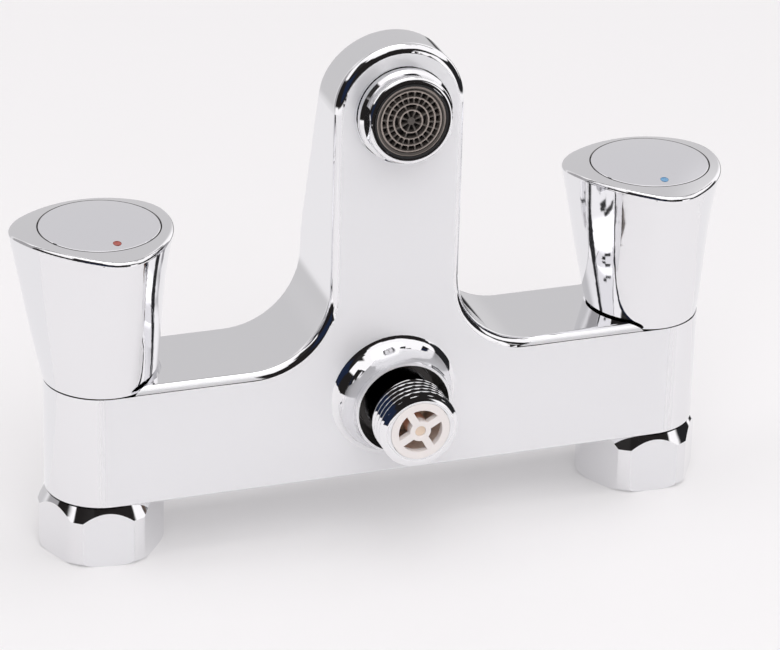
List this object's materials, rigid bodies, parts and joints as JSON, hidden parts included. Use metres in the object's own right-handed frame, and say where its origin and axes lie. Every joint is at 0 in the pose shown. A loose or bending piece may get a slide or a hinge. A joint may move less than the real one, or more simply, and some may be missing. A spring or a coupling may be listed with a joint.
{
  "type": "bath mixer",
  "caption": "Wall mounted two handle bath and shower mixer with a spout, an aerator, a pull diverter and a threaded shower outlet with a non-return valve.",
  "frame": {"origin": "midway between the two inlet axes, on the plane of the union nuts' open ends (the wall side)", "axes": "+X from the hot inlet to the cold inlet, -Z into the wall along the inlets, +Z out of the wall along the spout, -Y along the shower outlet, which faces down once installed"},
  "size_m": [0.192, 0.0727, 0.1375],
  "materials": {
    "bare_brass": "machined brass",
    "black_rubber": "moulded rubber",
    "ceramic": "lapped alumina ceramic",
    "ceramic_upper": "lapped alumina ceramic",
    "chrome_plated_brass": "mirror polished chrome plate",
    "chrome_plated_cap": "polished chrome plate on a moulded cap",
    "chrome_plated_handle": "mirror polished chrome plate on die-cast zinc",
    "cold_blue": "glossy moulded insert",
    "cream_plastic": "moulded acetal",
    "dark_plastic": "moulded acetal",
    "fibre_washer": "pressed fibre and rubber",
    "grey_plastic": "moulded acetal",
    "hot_red": "glossy moulded insert",
    "screw_steel": "machined stainless steel",
    "spring_steel": "drawn stainless spring wire",
    "steel_mesh": "perforated stainless sheet",
    "turned_brass": "turned brass",
    "white_plastic": "moulded acetal"
  },
  "bodies": {
    "body": {"aerator_core": "dark_plastic", "aerator_grid": "grey_plastic", "aerator_housing": "chrome_plated_brass", "aerator_ring": "black_rubber", "body_casting": "chrome_plated_brass", "check_valve_cage": "white_plastic", "check_valve_ring": "black_rubber", "check_valve_spring": "spring_steel", "cold_fixed_disc": "ceramic", "cold_headpart": "bare_brass", "cold_inlet_connector": "bare_brass", "cold_sealing_washer": "fibre_washer", "cold_strainer": "steel_mesh", "cold_valve_seal": "black_rubber", "diverter_bonnet": "chrome_plated_brass", "diverter_gasket": "fibre_washer", "diverter_spring": "spring_steel", "hot_fixed_disc": "ceramic", "hot_headpart": "bare_brass", "hot_inlet_connector": "bare_brass", "hot_sealing_washer": "fibre_washer", "hot_strainer": "steel_mesh", "hot_valve_seal": "black_rubber", "shower_nipple": "chrome_plated_brass"},
    "hot_nut": {"hot_union_nut": "chrome_plated_brass"},
    "cold_nut": {"cold_union_nut": "chrome_plated_brass"},
    "hot_handle": {"hot_handle": "chrome_plated_handle", "hot_cap": "chrome_plated_cap", "hot_dot": "hot_red", "hot_handle_screw": "screw_steel", "hot_spline_insert": "white_plastic", "hot_spindle": "turned_brass", "hot_spindle_rings": "black_rubber", "hot_retaining_clip": "spring_steel", "hot_moving_disc": "ceramic_upper"},
    "cold_handle": {"cold_handle": "chrome_plated_handle", "cold_cap": "chrome_plated_cap", "cold_dot": "cold_blue", "cold_handle_screw": "screw_steel", "cold_spline_insert": "white_plastic", "cold_spindle": "turned_brass", "cold_spindle_rings": "black_rubber", "cold_retaining_clip": "spring_steel", "cold_moving_disc": "ceramic_upper"},
    "diverter_plunger": {"diverter_spindle": "turned_brass", "diverter_disc": "turned_brass", "diverter_shower_seal": "black_rubber", "diverter_spout_seal": "black_rubber", "diverter_nut": "turned_brass", "diverter_ring": "black_rubber", "diverter_knob": "chrome_plated_handle"},
    "check_valve_poppet": {"check_valve_poppet": "cream_plastic", "check_valve_seal": "black_rubber"}
  },
  "joints": [
    {"name": "hot_handle_turn", "type": "hinge", "parent": "body", "child": "hot_handle", "pos_m": [-0.075, 0, 0.07], "axis": [0, 0, 1], "range_deg": [0, 90]},
    {"name": "cold_handle_turn", "type": "hinge", "parent": "body", "child": "cold_handle", "pos_m": [0.075, 0, 0.07], "axis": [0, 0, 1], "range_deg": [-90, 0]},
    {"name": "hot_nut_spin", "type": "hinge", "parent": "body", "child": "hot_nut", "pos_m": [-0.075, 0, 0.008], "axis": [0, 0, 1], "continuous": true},
    {"name": "cold_nut_spin", "type": "hinge", "parent": "body", "child": "cold_nut", "pos_m": [0.075, 0, 0.008], "axis": [0, 0, 1], "continuous": true},
    {"name": "diverter_pull", "type": "slide", "parent": "body", "child": "diverter_plunger", "axis": [0, 1, 0], "range_m": [0, 0.0063], "stiffness_N_per_m": 300, "springref_m": -0.006, "deforming": ["diverter_spring"]},
    {"name": "check_valve_lift", "type": "slide", "parent": "body", "child": "check_valve_poppet", "axis": [0, -1, 0], "range_m": [0, 0.0025], "stiffness_N_per_m": 60, "springref_m": -0.003, "deforming": ["check_valve_spring"]}
  ]
}
